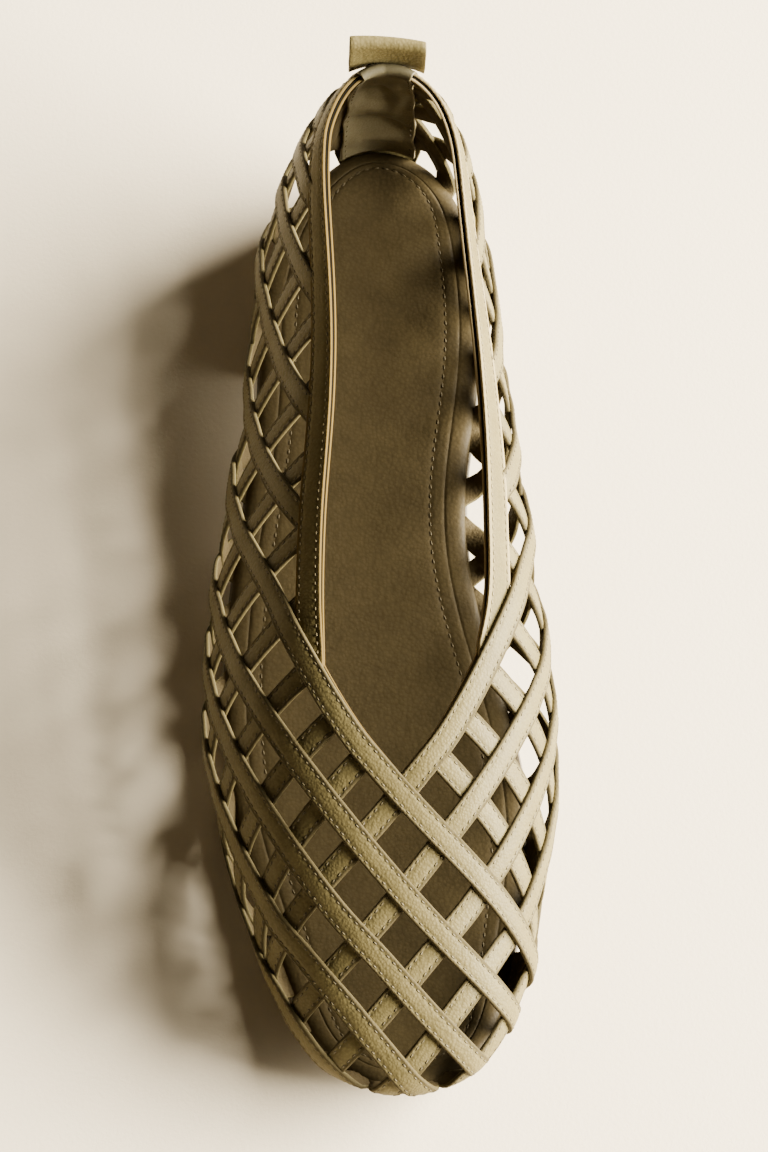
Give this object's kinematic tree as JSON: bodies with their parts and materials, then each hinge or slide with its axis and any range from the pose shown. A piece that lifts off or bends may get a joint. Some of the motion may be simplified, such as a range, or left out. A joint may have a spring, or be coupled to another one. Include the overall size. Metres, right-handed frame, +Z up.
{
  "type": "braided leather flat",
  "caption": "Low flat shoe with an open lattice upper of crossing leather tapes, a V throat, a leather insole, a thin sole with a low heel and a pull tab.",
  "frame": {"origin": "centre of the shoe's box on the floor, under heel and forefoot", "axes": "+Z up, the toe points to -Y and the heel to +Y, +X towards the inner side of the right foot"},
  "size_m": [0.0808, 0.2444, 0.0716],
  "materials": {
    "leather": "semi-matt khaki leather, stitched edges",
    "insole_leather": "smooth khaki lining leather",
    "sole_rubber": "matt dark khaki sole",
    "heel_rubber": "matt dark khaki heel",
    "tab_leather": "semi-matt khaki leather"
  },
  "bodies": {
    "root": {"upper": "leather", "insole": "insole_leather", "outsole": "sole_rubber", "heel": "heel_rubber", "pull_tab": "tab_leather"}
  },
  "joints": []
}
